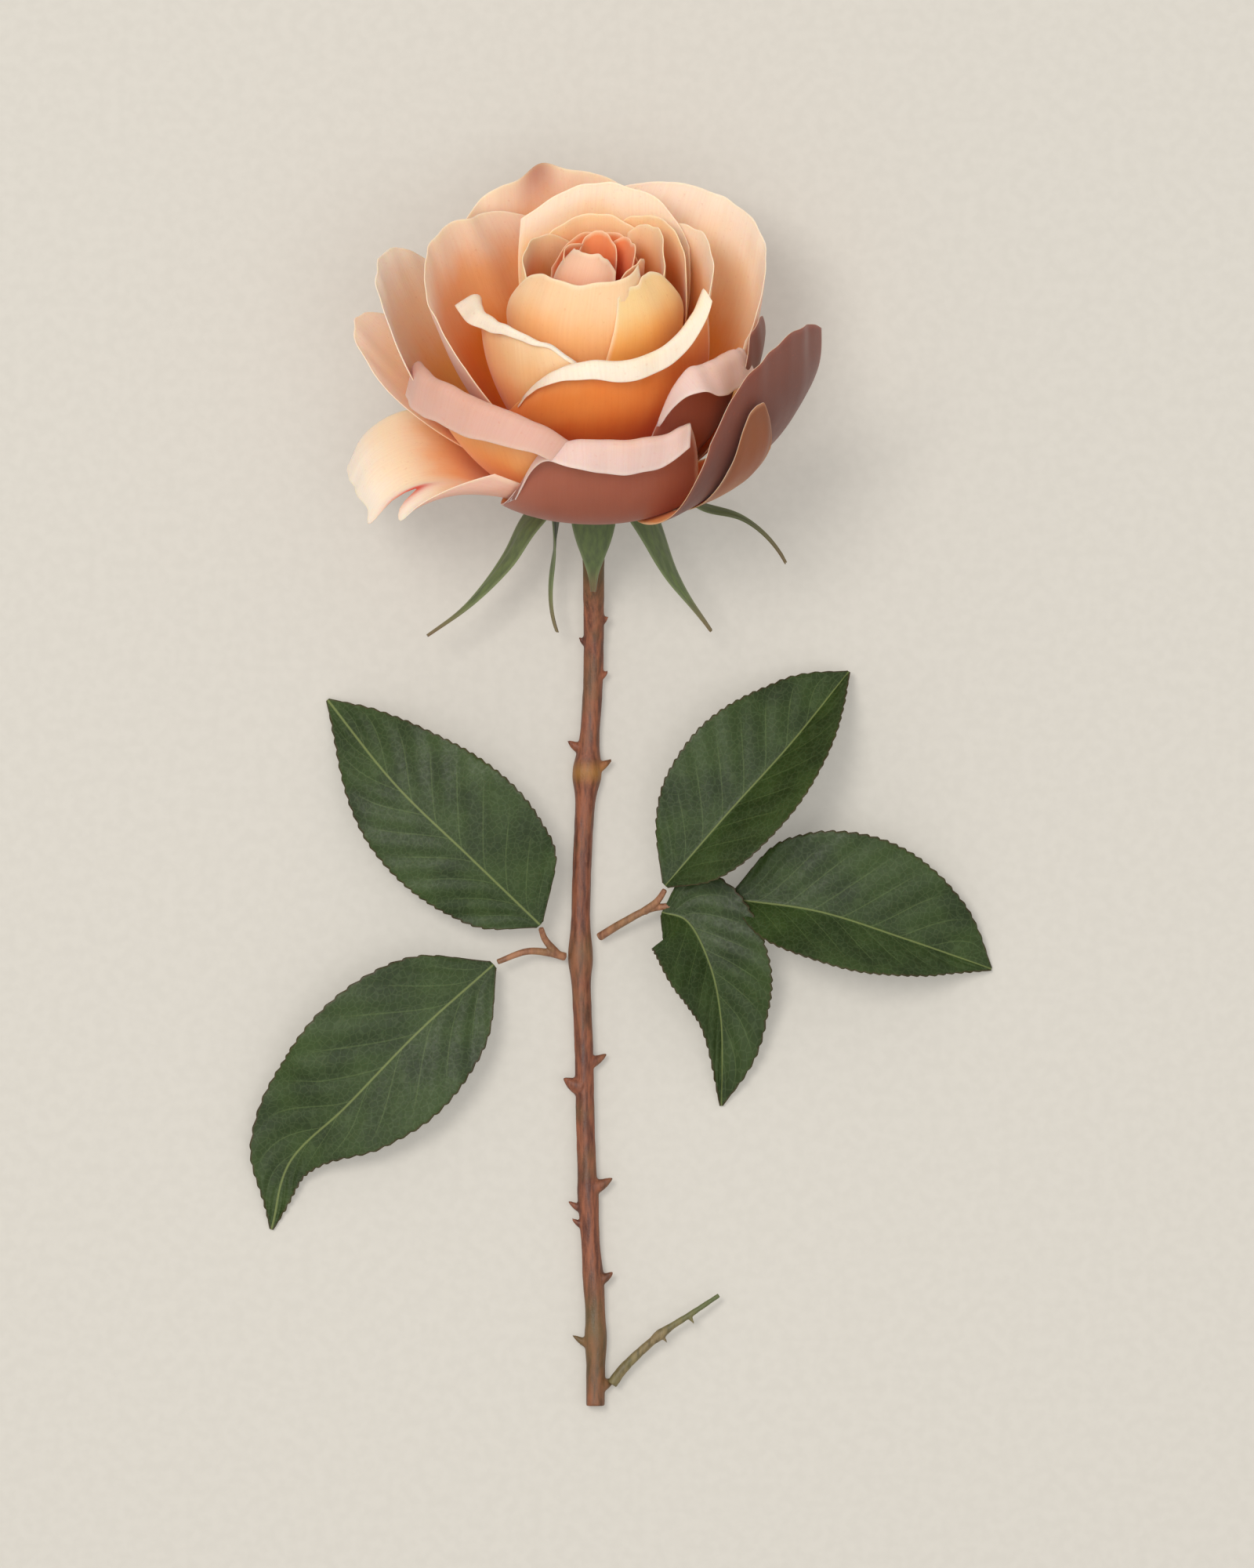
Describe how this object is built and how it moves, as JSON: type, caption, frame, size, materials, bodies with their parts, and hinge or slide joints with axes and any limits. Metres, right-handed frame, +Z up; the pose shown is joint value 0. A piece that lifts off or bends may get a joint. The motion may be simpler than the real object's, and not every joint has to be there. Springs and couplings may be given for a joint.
{
  "type": "cut_rose",
  "caption": "Cut garden rose with an open peach and orange bloom, prickly red-brown stem, side shoot and two serrated compound leaves, lying down.",
  "frame": {"origin": "middle of the bounding box, on the surface that the rose lies on", "axes": "+Z up from the surface, +Y along the stem from its cut end to the bloom, +X to the right as seen from above with the bloom away from the viewer"},
  "size_m": [0.162, 0.2708, 0.0765],
  "materials": {
    "petal_heart": "matte, deep orange",
    "petal_cup": "satin, peach and orange with pale rims",
    "petal_outer": "satin, dusty pink outside",
    "leaf": "waxy semi-gloss, dark green with pale veins",
    "sepal": "matte green tinged with red",
    "bark": "smooth, reddish brown going green at the nodes",
    "shoot_bark": "smooth, olive brown"
  },
  "bodies": {
    "root": {"bud_front_left": "petal_heart", "bud_front_right": "petal_heart", "bud_petal_back": "petal_heart", "bud_petal_far_right": "petal_heart", "bud_petal_left": "petal_heart", "bud_petal_right": "petal_heart", "cup_petal_back": "petal_cup", "cup_petal_far_left": "petal_cup", "cup_petal_front": "petal_cup", "cup_petal_left": "petal_cup", "cup_petal_right": "petal_cup", "guard_petal_back_left": "petal_outer", "guard_petal_back_right": "petal_outer", "guard_petal_front": "petal_outer", "guard_petal_left": "petal_outer", "guard_petal_low_left": "petal_outer", "guard_petal_low_right": "petal_outer", "guard_petal_right": "petal_outer", "heart_petal_back": "petal_heart", "heart_petal_curl": "petal_heart", "heart_petal_fold": "petal_heart", "heart_petal_front": "petal_heart", "heart_petal_left": "petal_heart", "heart_petal_right": "petal_heart", "hip": "sepal", "leaflet_left_lower": "leaf", "leaflet_left_upper": "leaf", "leaflet_right_lower": "leaf", "leaflet_right_middle": "leaf", "leaflet_right_upper": "leaf", "outer_petal_back_left": "petal_outer", "outer_petal_back_right": "petal_outer", "outer_petal_front_left": "petal_outer", "outer_petal_front_right": "petal_outer", "outer_petal_left": "petal_outer", "outer_petal_right": "petal_outer", "rachis_left": "leaf", "rachis_right": "leaf", "sepal_back_left": "sepal", "sepal_back_right": "sepal", "sepal_front": "sepal", "sepal_left": "sepal", "sepal_right": "sepal", "side_shoot": "shoot_bark", "stem": "bark"}
  },
  "joints": []
}
